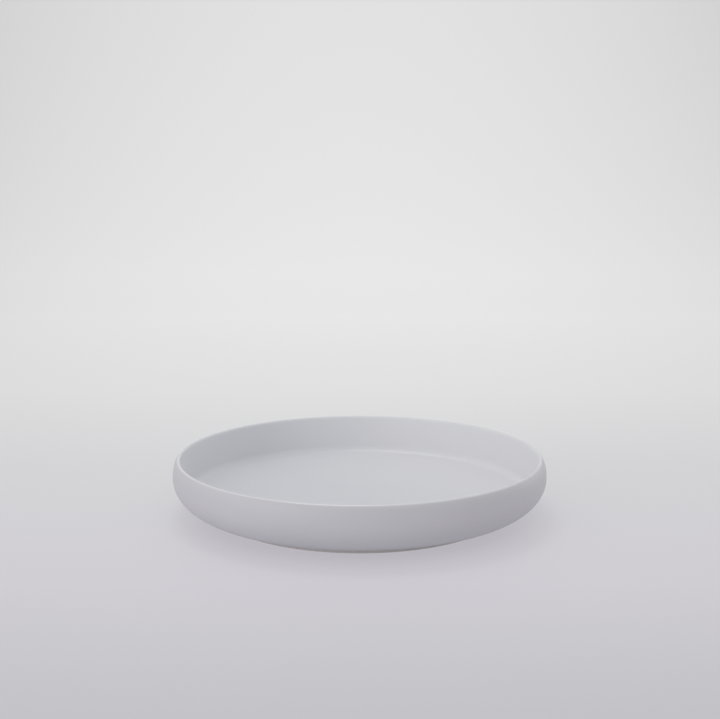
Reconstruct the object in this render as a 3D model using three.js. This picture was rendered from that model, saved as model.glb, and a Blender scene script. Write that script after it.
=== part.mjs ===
// A round white plate: a flat floor inside an upright wall that bellies out a little, leans in to a
// soft lip at the top, and curves under to a low foot ring.
// It is one fired clay body under three glaze coats: a liner poured into the inside, a coat over the
// outside, and a coat in the recess under the base. The foot ring is left bare.
// Lengths are in millimetres, +Z is up, and the origin is the centre of the circle it stands on.

import * as THREE from "three";

// Driving dimensions
const PLATE_DIAMETER = 200; // over the belly, the widest part of the wall
const PLATE_HEIGHT = 30.6; // table to the top of the lip
const BELLY_DROP = 9.5; // top of the lip down to the belly
const LIP_SETBACK = 3.2; // belly in to the top of the lip
const LIP_INNER_RADIUS = 1.3; // rounding from the top of the lip into the inside wall
const WALL_LEAN = 12; // degrees that the inside wall leans outwards
const FLOOR_THICKNESS = 6.8; // inside floor to the recess under the base
const FLOOR_FILLET_RADIUS = 5; // inside wall to the floor
const FOOT_DIAMETER = 152; // outside of the foot ring
const FOOT_WIDTH = 5; // outside to inside of the foot ring
const FOOT_HEIGHT = 3.5; // table to the lowest point of the outer curve
const FOOT_FILLET_RADIUS = 1.5; // outer curve into the foot ring
const FOOT_EDGE_RADIUS = 0.6; // both edges of the ring's contact face
const RECESS_HEIGHT = 3; // table to the base inside the foot ring
const RECESS_FILLET_RADIUS = 1.5; // foot ring into the base
const GLAZE_THICKNESS = 0.4; // every coat

// Steps that the round stretches are drawn with
const STEPS_AROUND = 64;
const LOWER_WALL_STEPS = 9;
const UPPER_WALL_STEPS = 5;
const FLOOR_FILLET_STEPS = 6;
const SMALL_ROUND_STEPS = 3;

// Sizes that follow from the driving dimensions
const bellyRadius = PLATE_DIAMETER / 2;
const bellyHeight = PLATE_HEIGHT - BELLY_DROP;
const crownRadius = bellyRadius - LIP_SETBACK;
const floorHeight = RECESS_HEIGHT + FLOOR_THICKNESS;
const footRadius = FOOT_DIAMETER / 2;
const footInnerRadius = footRadius - FOOT_WIDTH;

// An elliptical arc of the section, counted in degrees from straight out and turning upwards.
function arc(centre, radii, startDegrees, endDegrees, steps) {
  const start = THREE.MathUtils.degToRad(startDegrees);
  const end = THREE.MathUtils.degToRad(endDegrees);
  const clockwise = endDegrees < startDegrees;
  const curve = new THREE.EllipseCurve(centre.x, centre.y, radii.x, radii.y, start, end, clockwise);
  return curve.getPoints(steps);
}

function roundArc(centre, radius, startDegrees, endDegrees) {
  return arc(centre, new THREE.Vector2(radius, radius), startDegrees, endDegrees, SMALL_ROUND_STEPS);
}

// The four faces of the plate's section, taken in turn from the axis under the base, round the
// outside, and back to the axis on the floor. A point's x is its distance from the axis, y its height.
// Depth is measured into the wall: 0 is the glazed surface, and the glaze thickness is the clay's.

function baseFace(depth) {
  const filletRadius = footInnerRadius - GLAZE_THICKNESS - RECESS_FILLET_RADIUS;
  const filletCentre = new THREE.Vector2(filletRadius, RECESS_HEIGHT - RECESS_FILLET_RADIUS);
  return [
    new THREE.Vector2(0, RECESS_HEIGHT + depth),
    ...roundArc(filletCentre, RECESS_FILLET_RADIUS + depth, 90, 0),
  ];
}

function footFace() {
  const innerEdge = new THREE.Vector2(footInnerRadius + FOOT_EDGE_RADIUS, FOOT_EDGE_RADIUS);
  const outerEdge = new THREE.Vector2(footRadius - FOOT_EDGE_RADIUS, FOOT_EDGE_RADIUS);
  return [
    ...roundArc(innerEdge, FOOT_EDGE_RADIUS, 180, 270),
    ...roundArc(outerEdge, FOOT_EDGE_RADIUS, 270, 360),
  ];
}

function outsideFace(depth) {
  const filletRadius = footRadius + GLAZE_THICKNESS + FOOT_FILLET_RADIUS;
  const filletCentre = new THREE.Vector2(filletRadius, FOOT_HEIGHT - FOOT_FILLET_RADIUS);
  const lowerCentre = new THREE.Vector2(filletRadius, bellyHeight);
  const lowerRadii = new THREE.Vector2(bellyRadius - filletRadius, bellyHeight - FOOT_HEIGHT);
  const upperCentre = new THREE.Vector2(crownRadius, bellyHeight);
  const upperRadii = new THREE.Vector2(bellyRadius - crownRadius, BELLY_DROP);
  return [
    ...roundArc(filletCentre, FOOT_FILLET_RADIUS + depth, 180, 90),
    ...arc(lowerCentre, lowerRadii.subScalar(depth), 270, 360, LOWER_WALL_STEPS),
    ...arc(upperCentre, upperRadii.subScalar(depth), 0, 90, UPPER_WALL_STEPS),
  ];
}

function insideFace(depth) {
  const lean = THREE.MathUtils.degToRad(WALL_LEAN);
  const lipCentre = new THREE.Vector2(crownRadius, PLATE_HEIGHT - LIP_INNER_RADIUS);
  const filletHeight = floorHeight + FLOOR_FILLET_RADIUS;
  const wallRun = (lipCentre.y - filletHeight) * Math.tan(lean);
  const roundsRun = (LIP_INNER_RADIUS + FLOOR_FILLET_RADIUS) / Math.cos(lean);
  const filletCentre = new THREE.Vector2(crownRadius - wallRun - roundsRun, filletHeight);
  const filletRadii = new THREE.Vector2(FLOOR_FILLET_RADIUS, FLOOR_FILLET_RADIUS);
  return [
    ...roundArc(lipCentre, LIP_INNER_RADIUS - depth, 90, 180 - WALL_LEAN),
    ...arc(filletCentre, filletRadii.addScalar(depth), 360 - WALL_LEAN, 270, FLOOR_FILLET_STEPS),
    new THREE.Vector2(0, floorHeight - depth),
  ];
}

// One outline from several faces, without the point that two neighbours share.
function outline(...faces) {
  const points = faces.flat();
  const nearest = GLAZE_THICKNESS / 1000;
  return points.filter((point, i) => i === 0 || point.distanceTo(points[i - 1]) > nearest);
}

const plate = new THREE.Group();
plate.name = "round_plate";

function addTurnedPiece(name, section, material) {
  const geometry = new THREE.LatheGeometry(section, STEPS_AROUND);
  geometry.rotateX(Math.PI / 2);
  const piece = new THREE.Mesh(geometry, material);
  piece.name = name;
  plate.add(piece);
}

// The clay body: fired white clay, seen only on the foot ring.
const claySection = outline(
  baseFace(GLAZE_THICKNESS),
  footFace(),
  outsideFace(GLAZE_THICKNESS),
  insideFace(GLAZE_THICKNESS),
);
const firedClay = new THREE.MeshStandardMaterial({ color: "#bbb7b4", roughness: 0.85, metalness: 0 });
addTurnedPiece("plate_body", claySection, firedClay);

// The liner: over the floor and the inside wall, up to the top of the lip.
const linerSection = outline(insideFace(GLAZE_THICKNESS).reverse(), insideFace(0));
const linerGlaze = new THREE.MeshStandardMaterial({ color: "#d2d2d6", roughness: 0.45, metalness: 0 });
addTurnedPiece("inside_glaze", linerSection, linerGlaze);

// The outside coat: from the top of the lip down to its edge on the foot ring.
const coatFace = outsideFace(0);
const coatSection = outline(coatFace, outsideFace(GLAZE_THICKNESS).reverse(), [coatFace[0]]);
const coatGlaze = new THREE.MeshStandardMaterial({ color: "#bfbdc3", roughness: 0.48, metalness: 0 });
addTurnedPiece("outside_glaze", coatSection, coatGlaze);

// The base coat: in the recess that the foot ring encloses.
const baseSection = outline(baseFace(0), baseFace(GLAZE_THICKNESS).reverse());
const baseGlaze = new THREE.MeshStandardMaterial({ color: "#bfbdc3", roughness: 0.48, metalness: 0 });
addTurnedPiece("base_glaze", baseSection, baseGlaze);

export default plate;
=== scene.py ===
import math

import bpy
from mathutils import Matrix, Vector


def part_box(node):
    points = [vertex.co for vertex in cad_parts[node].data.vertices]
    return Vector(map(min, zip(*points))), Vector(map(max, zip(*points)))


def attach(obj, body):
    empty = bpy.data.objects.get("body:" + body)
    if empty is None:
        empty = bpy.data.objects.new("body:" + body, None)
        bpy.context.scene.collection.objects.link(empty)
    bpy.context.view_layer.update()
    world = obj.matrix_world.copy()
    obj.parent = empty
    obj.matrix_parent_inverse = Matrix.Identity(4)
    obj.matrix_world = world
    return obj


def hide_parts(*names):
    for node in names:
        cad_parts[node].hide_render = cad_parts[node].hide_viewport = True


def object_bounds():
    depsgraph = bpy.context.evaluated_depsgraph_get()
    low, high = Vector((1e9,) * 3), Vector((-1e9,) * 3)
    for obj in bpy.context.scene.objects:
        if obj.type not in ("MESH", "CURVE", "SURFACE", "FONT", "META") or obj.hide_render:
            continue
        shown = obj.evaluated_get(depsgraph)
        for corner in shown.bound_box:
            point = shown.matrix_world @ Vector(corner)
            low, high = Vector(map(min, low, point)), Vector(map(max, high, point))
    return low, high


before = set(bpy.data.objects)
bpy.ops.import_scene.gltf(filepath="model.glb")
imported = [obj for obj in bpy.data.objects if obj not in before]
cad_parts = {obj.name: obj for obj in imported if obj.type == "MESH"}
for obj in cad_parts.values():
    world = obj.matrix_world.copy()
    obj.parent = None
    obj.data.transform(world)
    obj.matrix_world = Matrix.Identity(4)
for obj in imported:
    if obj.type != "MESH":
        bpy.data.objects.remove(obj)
cad_low, cad_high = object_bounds()

# The clay body: floor, wall, lip and foot ring in one piece of fine white stoneware, pressed on a
# turning mould, sponged smooth and fired. Glaze hides all of it but the foot ring, which is wiped
# bare and sanded flat, so that it doesn't stick to the kiln shelf or scratch a table.
MM = 0.001
BELLY_DROP = 9.5 * MM  # top of the lip down to the belly, the widest part of the wall
LIP_INNER_RADIUS = 1.3 * MM  # how far the lip's inside is rounded across
LIP_INNER_DEPTH = 2.4 * MM  # how far that rounding runs down the wall
WALL_LEAN = 12  # degrees that the inside wall leans outwards
FLOOR_FILLET_RADIUS = 5 * MM
FOOT_WIDTH = 5 * MM
FOOT_HEIGHT = 3.5 * MM  # table up to the lowest point of the outer curve
FOOT_FILLET_RADIUS = 1.5 * MM
FOOT_EDGE_RADIUS = 0.6 * MM
RECESS_FILLET_RADIUS = 1.5 * MM
STEPS_AROUND = 192

belly_radius = cad_high.x
plate_height = cad_high.z
belly_height = plate_height - BELLY_DROP
glaze = plate_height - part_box("plate_body")[1].z
crown_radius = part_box("inside_glaze")[1].x
floor_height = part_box("inside_glaze")[0].z + glaze
foot_inner_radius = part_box("base_glaze")[1].x
foot_radius = foot_inner_radius + FOOT_WIDTH
recess_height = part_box("base_glaze")[1].z - glaze


def arc(centre, across, up, start, end, steps):
    """Points of an elliptical arc in the section, from one angle in degrees to another."""
    angles = [math.radians(start + (end - start) * i / steps) for i in range(steps + 1)]
    return [(centre[0] + across * math.cos(a), centre[1] + up * math.sin(a)) for a in angles]


def base_face(depth):
    """The recess under the base, from the axis to the foot ring, this deep under the glaze."""
    radius = RECESS_FILLET_RADIUS + depth
    centre_radius = foot_inner_radius - glaze - RECESS_FILLET_RADIUS
    centre = (centre_radius, recess_height - RECESS_FILLET_RADIUS)
    return [(0, recess_height + depth)] + arc(centre, radius, radius, 90, 0, 8)


def foot_face():
    """The bare foot ring, from its inner side round to its outer side."""
    edge = FOOT_EDGE_RADIUS
    inner = arc((foot_inner_radius + edge, edge), edge, edge, 180, 270, 5)
    outer = arc((foot_radius - edge, edge), edge, edge, 270, 360, 5)
    return inner + outer


def outside_face(depth):
    """The outer wall, from the foot ring up to the top of the lip."""
    fillet = FOOT_FILLET_RADIUS + depth
    low_radius = foot_radius + glaze + FOOT_FILLET_RADIUS
    foot_centre = (low_radius, FOOT_HEIGHT - FOOT_FILLET_RADIUS)
    lower = (belly_radius - low_radius - depth, belly_height - FOOT_HEIGHT - depth)
    upper = (belly_radius - crown_radius - depth, BELLY_DROP - depth)
    points = arc(foot_centre, fillet, fillet, 180, 90, 8)
    points += arc((low_radius, belly_height), *lower, 270, 360, 28)
    return points + arc((crown_radius, belly_height), *upper, 0, 90, 16)


def inside_face(depth):
    """The inside wall and the floor, from the top of the lip to the axis."""
    lip = LIP_INNER_RADIUS - depth
    lip_depth = LIP_INNER_DEPTH - depth
    fillet = FLOOR_FILLET_RADIUS + depth
    lip_centre = (crown_radius, plate_height - LIP_INNER_DEPTH)
    fillet_height = floor_height + FLOOR_FILLET_RADIUS
    lean = math.radians(WALL_LEAN)
    run_in = (plate_height - LIP_INNER_RADIUS - fillet_height) * math.tan(lean)
    run_in += (LIP_INNER_RADIUS + FLOOR_FILLET_RADIUS) / math.cos(lean)
    fillet_centre = (crown_radius - run_in, fillet_height)
    wall_start = 180 - math.degrees(math.atan(lip_depth / lip * math.tan(lean)))
    points = arc(lip_centre, lip, lip_depth, 90, wall_start, 10)
    points += arc(fillet_centre, fillet, fillet, 360 - WALL_LEAN, 270, 16)
    return points + [(0, floor_height - depth)]


def turned(name, section):
    """A piece made as on a potter's wheel: its section is drawn by points and spun once round."""
    bpy.ops.object.select_all(action="DESELECT")
    bpy.ops.mesh.primitive_plane_add(size=MM)
    piece = bpy.context.object
    piece.name = name
    bpy.ops.object.mode_set(mode="EDIT")
    bpy.ops.mesh.merge(type="CENTER")
    radius, height = section[0]
    bpy.ops.transform.translate(value=(radius, 0, height))
    for next_radius, next_height in section[1:]:
        step = (next_radius - radius, 0, next_height - height)
        bpy.ops.mesh.extrude_vertices_move(TRANSFORM_OT_translate={"value": step})
        radius, height = next_radius, next_height
    bpy.ops.mesh.select_all(action="SELECT")
    bpy.ops.mesh.spin(steps=STEPS_AROUND, angle=math.tau, center=(0, 0, 0), axis=(0, 0, 1))
    bpy.ops.mesh.select_all(action="SELECT")
    bpy.ops.mesh.remove_doubles(threshold=0.002 * MM)
    bpy.ops.mesh.normals_make_consistent(inside=False)
    bpy.ops.object.mode_set(mode="OBJECT")
    bpy.ops.object.shade_smooth_by_angle(angle=math.radians(40))
    return piece


def linear(colour):
    """A hex sRGB colour as the linear RGBA that Blender's sockets hold."""
    parts = [int(colour[i:i + 2], 16) / 255 for i in (1, 3, 5)]
    return [p / 12.92 if p <= 0.04045 else ((p + 0.055) / 1.055) ** 2.4 for p in parts] + [1]


def new_material(name):
    """A material with an empty node tree."""
    material = bpy.data.materials.new(name)
    material.use_nodes = True
    material.node_tree.nodes.clear()
    return material


def add_node(material, kind, settings=(), links=()):
    """Add a node, set its sockets and properties, and link sockets or first outputs to it."""
    node = material.node_tree.nodes.new(kind)
    for name, value in dict(settings).items():
        if isinstance(name, int) or name in node.inputs:
            node.inputs[name].default_value = value
        else:
            setattr(node, name, value)
    for name, source in dict(links).items():
        socket = getattr(source, "outputs", [source])[0]
        material.node_tree.links.new(socket, node.inputs[name])
    return node


clay_section = base_face(glaze) + foot_face() + outside_face(glaze) + inside_face(glaze)
clay_body = turned("clay_body", clay_section)

# Sanded stoneware: a dry, warm off-white, clouded by the fire, with fine grit, a few iron specks
# and the round marks of the sanding pad. The grit is really 0.3 mm, and is drawn coarser so that
# it shows.
CLAY_CLOUD = 22 * MM
GRIT = 0.7 * MM
SPECK_SPACING = 5 * MM
SANDING_SPACING = 0.9 * MM
stoneware = new_material("sanded_white_stoneware")
place = add_node(stoneware, "ShaderNodeTexCoord").outputs["Object"]
cloud = add_node(stoneware, "ShaderNodeTexNoise", {"Scale": 1 / CLAY_CLOUD}, {"Vector": place})
tone = add_node(
    stoneware, "ShaderNodeMixRGB",
    {"Color1": linear("#b5b1ae"), "Color2": linear("#c1bebb")}, {"Fac": cloud})
grit = add_node(stoneware, "ShaderNodeTexNoise", {"Scale": 1 / GRIT}, {"Vector": place})
grains = add_node(
    stoneware, "ShaderNodeMapRange",
    {"From Min": 0.4, "From Max": 0.7, "To Max": 0.35}, {"Value": grit})
grained = add_node(
    stoneware, "ShaderNodeMixRGB",
    {"Color2": linear("#a19c98")}, {"Fac": grains, "Color1": tone})
cells = add_node(
    stoneware, "ShaderNodeTexVoronoi", {"Scale": 1 / SPECK_SPACING}, {"Vector": place})
specks = add_node(
    stoneware, "ShaderNodeMapRange",
    {"From Min": 0.05, "From Max": 0.09, "To Min": 0.7, "To Max": 0}, {"Value": cells})
speckled = add_node(
    stoneware, "ShaderNodeMixRGB",
    {"Color2": linear("#7b7168")}, {"Fac": specks, "Color1": grained})
rings = add_node(
    stoneware, "ShaderNodeTexWave",
    {"wave_type": "RINGS", "rings_direction": "Z", "Distortion": 2,
     "Scale": math.tau / 20 / SANDING_SPACING},
    {"Vector": place})
ringed = add_node(
    stoneware, "ShaderNodeBump",
    {"Strength": 0.3, "Distance": 0.05 * MM}, {"Height": rings.outputs["Fac"]})
gritty = add_node(
    stoneware, "ShaderNodeBump",
    {"Strength": 0.6, "Distance": 0.1 * MM}, {"Height": grit, "Normal": ringed})
dryness = add_node(
    stoneware, "ShaderNodeMapRange", {"To Min": 0.74, "To Max": 0.92}, {"Value": grit})
clay_shader = add_node(
    stoneware, "ShaderNodeBsdfPrincipled",
    {"IOR": 1.5}, {"Base Color": speckled, "Roughness": dryness, "Normal": gritty})
add_node(stoneware, "ShaderNodeOutputMaterial", {}, {"Surface": clay_shader})
clay_body.data.materials.append(stoneware)
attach(clay_body, "root")
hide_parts("plate_body")

# The liner: white glaze poured into the plate, swirled and tipped out, so that it covers the floor
# and the inside wall to the top of the lip. It fires to a smooth satin skin fused to the clay.
liner_section = inside_face(glaze)[::-1] + inside_face(0)
liner_coat = turned("liner_coat", liner_section)

# Satin liner glaze: pale and nearly neutral, with a soft orange-peel skin. Its tone varies at
# random in clouds, and over that it is painted lighter towards the back right and darker towards
# the front left, as painted light and shade from the light on the left. It pools smoother in the
# floor's corner, and the sponge has smoothed it on the lip.
LINER_CLOUD = 35 * MM
PAINTED_LIGHT_SIDE = (0.8, 0.6, 0)
PAINTED_LIGHT_START = -5 * MM
PAINTED_LIGHT_END = 65 * MM
LINER_PEEL = 2.2 * MM
POOL_EDGE = 0.4 * MM
POOL_MIDDLE = 1.2 * MM
POOL_TOP = 3.5 * MM
LIP_SPONGE_AND_HIGHLIGHT = 0.7 * MM
liner_glaze = new_material("satin_liner_glaze")
place = add_node(liner_glaze, "ShaderNodeTexCoord").outputs["Object"]
height = add_node(liner_glaze, "ShaderNodeSeparateXYZ", {}, {"Vector": place}).outputs["Z"]
off_floor = add_node(
    liner_glaze, "ShaderNodeMapRange",
    {"interpolation_type": "SMOOTHSTEP",
     "From Min": floor_height, "From Max": floor_height + POOL_EDGE},
    {"Value": height})
pool = add_node(
    liner_glaze, "ShaderNodeMapRange",
    {"interpolation_type": "SMOOTHSTEP",
     "From Min": floor_height + POOL_TOP, "From Max": floor_height + POOL_MIDDLE},
    {"Value": height, "To Max": off_floor})
# The lip band: the sponge's smoother gloss, and a painted highlight in a paler colour.
sponged_and_highlight_mask = add_node(
    liner_glaze, "ShaderNodeMapRange",
    {"interpolation_type": "SMOOTHSTEP",
     "From Min": plate_height - LIP_SPONGE_AND_HIGHLIGHT, "From Max": plate_height},
    {"Value": height})
cloud = add_node(
    liner_glaze, "ShaderNodeTexNoise", {"Scale": 1 / LINER_CLOUD, "Detail": 4}, {"Vector": place})
# Painted light and shade: lighter towards the back right, darker towards the front left, blurred by
# the clouds.
toward_painted_light = add_node(
    liner_glaze, "ShaderNodeVectorMath",
    {"operation": "DOT_PRODUCT", 1: PAINTED_LIGHT_SIDE}, {0: place}).outputs["Value"]
cloud_and_painted_light = add_node(
    liner_glaze, "ShaderNodeMath",
    {"operation": "MULTIPLY_ADD", 1: LINER_CLOUD}, {0: cloud, 2: toward_painted_light})
painted_light_drift = add_node(
    liner_glaze, "ShaderNodeMapRange",
    {"From Min": PAINTED_LIGHT_START + LINER_CLOUD / 2, "From Max": PAINTED_LIGHT_END + LINER_CLOUD / 2},
    {"Value": cloud_and_painted_light})
tone = add_node(
    liner_glaze, "ShaderNodeMixRGB",
    {"Color1": linear("#cfd0d5"), "Color2": linear("#d7d7db")}, {"Fac": painted_light_drift})
# Painted highlight: the lip's top is drawn in one pale colour, paler than most of the liner.
lip_with_painted_highlight = add_node(
    liner_glaze, "ShaderNodeMixRGB",
    {"Color2": linear("#d6d6da")}, {"Fac": sponged_and_highlight_mask, "Color1": tone})
peel = add_node(
    liner_glaze, "ShaderNodeTexNoise", {"Scale": 1 / LINER_PEEL, "Detail": 1}, {"Vector": place})
peeled = add_node(
    liner_glaze, "ShaderNodeBump", {"Strength": 0.25, "Distance": 0.04 * MM}, {"Height": peel})
satin = add_node(
    liner_glaze, "ShaderNodeMapRange", {"To Min": 0.52, "To Max": 0.62}, {"Value": cloud})
pool_gloss = add_node(
    liner_glaze, "ShaderNodeMapRange", {"To Max": 0.3}, {"Value": pool, "To Min": satin})
lip_gloss = add_node(
    liner_glaze, "ShaderNodeMapRange", {"To Max": 0.34}, {"Value": sponged_and_highlight_mask, "To Min": pool_gloss})
liner_shader = add_node(
    liner_glaze, "ShaderNodeBsdfPrincipled",
    {"IOR": 1.5}, {"Base Color": lip_with_painted_highlight, "Roughness": lip_gloss, "Normal": peeled})
add_node(liner_glaze, "ShaderNodeOutputMaterial", {}, {"Surface": liner_shader})
liner_coat.data.materials.append(liner_glaze)
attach(liner_coat, "root")
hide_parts("inside_glaze")

# The outside coat: the same white glaze, sprayed over the wall from the lip to the foot ring,
# where its edge is wiped with a sponge. It dries thinner than the liner and fires a little greyer.
WIPED_BEAD = 0.28 * MM
SPONGE_WAVER = 0.7 * MM
SPONGE_STROKE = 14 * MM
coat_face = outside_face(0)[2:]
clay_face = outside_face(glaze)[2:]
bead_centre = [(out + under) / 2 for out, under in zip(coat_face[0], clay_face[0])]
bead = arc(bead_centre, WIPED_BEAD, WIPED_BEAD, 157.5, 337.5, 6)
outer_coat = turned("outer_coat", bead + coat_face + clay_face[::-1] + [bead[0]])


def wipe_edge(coat, edge_height):
    """Let a coat's low edge waver up and down by the foot ring, as a hand-held sponge leaves it."""
    edge = coat.vertex_groups.new(name="wiped_edge")
    for vertex in coat.data.vertices:
        above = (vertex.co.z - edge_height) / WIPED_BEAD
        edge.add([vertex.index], min(max(2 - above, 0), 1), "REPLACE")
    strokes = bpy.data.textures.new("sponge_strokes", "CLOUDS")
    strokes.noise_scale = SPONGE_STROKE
    waver = coat.modifiers.new("sponge_waver", "DISPLACE")
    waver.texture = strokes
    waver.texture_coords = "LOCAL"
    waver.direction = "Z"
    waver.strength = SPONGE_WAVER
    waver.vertex_group = edge.name
    bpy.ops.object.modifier_apply(modifier=waver.name)
    coat.vertex_groups.clear()


wipe_edge(outer_coat, bead_centre[1])

# Satin outer glaze: greyer than the liner, with a breath of lilac, because it lies thin over the
# clay. Low on the wall, under its curve, it is painted darker: painted shade. The liner laps over
# it on the lip, glossier and in the liner's lip colour, which is painted paler as a highlight. The
# spray's fine stipple is drawn coarser so that it shows.
OUTER_CLOUD = 45 * MM
STIPPLE = 1.4 * MM
LINER_LAP_AND_HIGHLIGHT = 0.65 * MM
PAINTED_SHADE_START = 8.5 * MM
PAINTED_SHADE_END = 4.8 * MM
outer_glaze = new_material("satin_outer_glaze")
place = add_node(outer_glaze, "ShaderNodeTexCoord").outputs["Object"]
height = add_node(outer_glaze, "ShaderNodeSeparateXYZ", {}, {"Vector": place}).outputs["Z"]
lap_and_lip_highlight = add_node(
    outer_glaze, "ShaderNodeMapRange",
    {"interpolation_type": "SMOOTHSTEP",
     "From Min": plate_height - LINER_LAP_AND_HIGHLIGHT, "From Max": plate_height},
    {"Value": height})
# Painted shade: from 8.5 mm down to 4.8 mm above the table the outer coat turns darker, under the
# wall's curve.
painted_shade_mask = add_node(
    outer_glaze, "ShaderNodeMapRange",
    {"interpolation_type": "SMOOTHSTEP", "From Min": PAINTED_SHADE_START, "From Max": PAINTED_SHADE_END},
    {"Value": height})
cloud = add_node(
    outer_glaze, "ShaderNodeTexNoise", {"Scale": 1 / OUTER_CLOUD, "Detail": 4}, {"Vector": place})
tone = add_node(
    outer_glaze, "ShaderNodeMixRGB",
    {"Color1": linear("#bcbbc0"), "Color2": linear("#c4c3c8")}, {"Fac": cloud})
painted_shade_tone = add_node(
    outer_glaze, "ShaderNodeMixRGB",
    {"Color2": linear("#b0afb3")}, {"Fac": painted_shade_mask, "Color1": tone})
# Painted highlight: the liner's lap over the lip is drawn in the liner's paler lip colour.
lip_with_painted_highlight = add_node(
    outer_glaze, "ShaderNodeMixRGB",
    {"Color2": linear("#d6d6da")}, {"Fac": lap_and_lip_highlight, "Color1": painted_shade_tone})
stipple = add_node(
    outer_glaze, "ShaderNodeTexNoise", {"Scale": 1 / STIPPLE, "Detail": 2}, {"Vector": place})
stippled = add_node(
    outer_glaze, "ShaderNodeBump", {"Strength": 0.25, "Distance": 0.04 * MM}, {"Height": stipple})
satin = add_node(
    outer_glaze, "ShaderNodeMapRange", {"To Min": 0.42, "To Max": 0.54}, {"Value": cloud})
lip_gloss = add_node(
    outer_glaze, "ShaderNodeMapRange", {"To Max": 0.2}, {"Value": lap_and_lip_highlight, "To Min": satin})
outer_shader = add_node(
    outer_glaze, "ShaderNodeBsdfPrincipled",
    {"IOR": 1.5}, {"Base Color": lip_with_painted_highlight, "Roughness": lip_gloss, "Normal": stippled})
add_node(outer_glaze, "ShaderNodeOutputMaterial", {}, {"Surface": outer_shader})
outer_coat.data.materials.append(outer_glaze)
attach(outer_coat, "root")
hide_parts("outside_glaze")

# The base coat: glaze brushed into the recess that the foot ring encloses, and wiped off the ring.
# It is the outside's glaze, so that the plate is sealed all over but for the ring it stands on.
coat_face = base_face(0)[:-2]
clay_face = base_face(glaze)[:-2]
bead_centre = [(out + under) / 2 for out, under in zip(coat_face[-1], clay_face[-1])]
bead = arc(bead_centre, WIPED_BEAD, WIPED_BEAD, 202.5, 382.5, 6)
base_coat = turned("base_coat", coat_face + bead + clay_face[::-1])
wipe_edge(base_coat, bead_centre[1])
# The whole recess lies below the painted shade, so it takes the darker painted-shade tone all over.
base_coat.data.materials.append(outer_glaze)
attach(base_coat, "root")
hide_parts("base_glaze")

# The table and backdrop: one sheet of opal acrylic that lies flat under the plate and curves up
# behind it without a corner. It glows by its own emission, a painted light with no lamp under or
# behind it, and the glow also lights the plate, so the plate's shadow is faint.
SHEET_WIDTH = 4.4
SHEET_FRONT = -2.4
SHEET_BACK = 1.3
SHEET_TOP = 1.9
SHEET_BEND = 0.6
bpy.ops.object.select_all(action="DESELECT")
bpy.ops.mesh.primitive_plane_add(size=1)
opal_sheet = bpy.context.object
opal_sheet.name = "opal_sheet"
bpy.ops.object.mode_set(mode="EDIT")
bpy.ops.transform.resize(value=(SHEET_WIDTH, SHEET_BACK - SHEET_FRONT, 1))
bpy.ops.transform.translate(value=(0, (SHEET_BACK + SHEET_FRONT) / 2, 0))
bpy.ops.mesh.select_all(action="DESELECT")
bpy.ops.object.mode_set(mode="OBJECT")
for edge in opal_sheet.data.edges:
    edge.select = all(opal_sheet.data.vertices[i].co.y > 0 for i in edge.vertices)
bpy.ops.object.mode_set(mode="EDIT")
bpy.ops.mesh.select_mode(type="EDGE")
bpy.ops.mesh.extrude_region_move(TRANSFORM_OT_translate={"value": (0, 0, SHEET_TOP)})
bpy.ops.object.mode_set(mode="OBJECT")
bend = opal_sheet.modifiers.new("bend", "BEVEL")
bend.width = SHEET_BEND
bend.segments = 32
bpy.ops.object.modifier_apply(modifier=bend.name)
bpy.ops.object.shade_smooth()

# Opal acrylic: a matt milky sheet that reflects little of the light that falls on it. Its painted
# glow, an emission that stands in for lamps, grows from the front edge to the bend behind the
# plate, and falls off to both sides.
GLOW_NEAR = -0.3
GLOW_FAR = 1.7
painted_glow_acrylic = new_material("painted_glow_acrylic")
place = add_node(painted_glow_acrylic, "ShaderNodeTexCoord").outputs["Object"]
axes = add_node(painted_glow_acrylic, "ShaderNodeSeparateXYZ", {}, {"Vector": place}).outputs
run = add_node(
    painted_glow_acrylic, "ShaderNodeMath", {"operation": "ADD"}, {0: axes["Y"], 1: axes["Z"]})
share = add_node(
    painted_glow_acrylic, "ShaderNodeMapRange",
    {"From Min": GLOW_NEAR, "From Max": GLOW_FAR}, {"Value": run})
ramp = add_node(painted_glow_acrylic, "ShaderNodeValToRGB", {}, {"Fac": share})
glow = ramp.color_ramp.elements
glow[0].position, glow[0].color = 0.02, linear("#98989e")
glow[1].position, glow[1].color = 0.95, linear("#c3c3c3")
for position, colour in (0.09, "#a9a6ad"), (0.2, "#afafb2"), (0.31, "#bbbbbb"), (0.6, "#c8c8c8"):
    glow.new(position).color = linear(colour)
square = add_node(
    painted_glow_acrylic, "ShaderNodeMath", {"operation": "MULTIPLY"}, {0: axes["X"], 1: axes["X"]})
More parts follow.
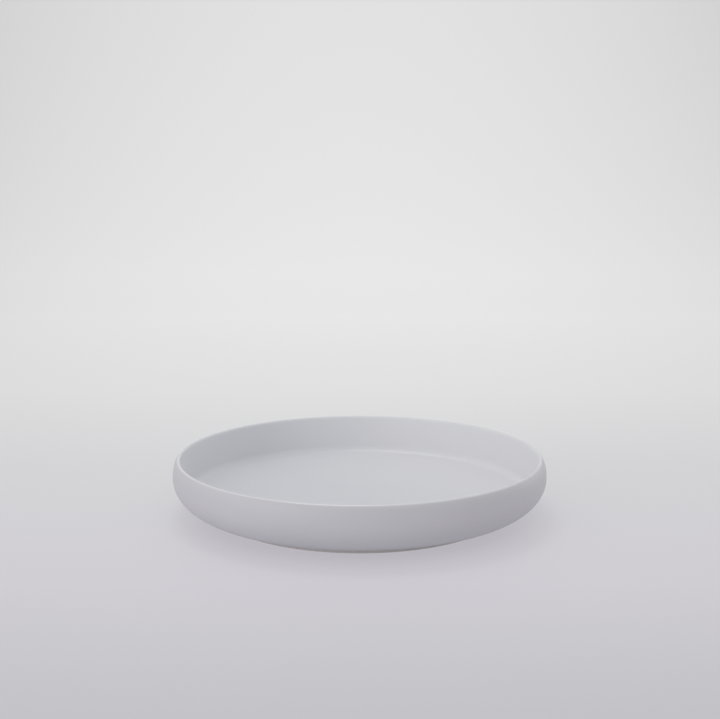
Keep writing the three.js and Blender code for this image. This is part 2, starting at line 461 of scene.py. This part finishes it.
sides = add_node(
    painted_glow_acrylic, "ShaderNodeMapRange",
    {"From Max": 0.3, "To Min": 1, "To Max": 0.79}, {"Value": square})
dimmed = add_node(
    painted_glow_acrylic, "ShaderNodeMixRGB",
    {"blend_type": "MULTIPLY", "Fac": 1}, {"Color1": ramp, "Color2": sides})
opal_shader = add_node(
    painted_glow_acrylic, "ShaderNodeBsdfPrincipled",
    {"Base Color": linear("#858585"), "Roughness": 0.6, "Specular IOR Level": 0.2,
     "Emission Strength": 1},
    {"Emission Color": dimmed})
add_node(painted_glow_acrylic, "ShaderNodeOutputMaterial", {}, {"Surface": opal_shader})
opal_sheet.data.materials.append(painted_glow_acrylic)

# The lights: a wide softbox low on the left in front, a small one high behind, whose gleam lies in
# the floor's corner, a weak one low on the right behind for the plate's edge, and even light from
# the room.
world = bpy.data.worlds.new("studio")
bpy.context.scene.world = world
world.use_nodes = True
room = world.node_tree.nodes["Background"]
room.inputs["Color"].default_value = (1, 1, 1, 1)
room.inputs["Strength"].default_value = 0.735


def softbox(name, place, width, height, power):
    """An area light of a width and height in metres, turned to face the plate."""
    bpy.ops.object.light_add(type="AREA", location=place)
    light = bpy.context.object
    light.name = name
    light.data.shape = "RECTANGLE"
    light.data.size = width
    light.data.size_y = height
    light.data.energy = power
    light.rotation_euler = (-light.location).to_track_quat("-Z", "Y").to_euler()


softbox("front_left_softbox", (-0.86, -0.78, 0.3), 1.1, 0.6, 3.45)
softbox("back_softbox", (-0.15, 0.4, 1.22), 0.48, 0.4, 2.4)
softbox("edge_softbox", (1.05, 0.73, 0.23), 0.6, 0.6, 1.5)

# The camera: a 70 mm lens on a full frame, about three quarters of a metre from the plate and a
# little above it, so that the floor shows over the near lip.
bpy.ops.object.camera_add(
    location=(0.0002, -0.7325, 0.2148), rotation=(math.radians(79.78), 0, 0))
camera = bpy.context.object
camera.name = "photo_camera"
camera.data.lens = 70
camera.data.sensor_width = 36
bpy.context.scene.camera = camera

bpy.context.scene.view_settings.view_transform = "Standard"
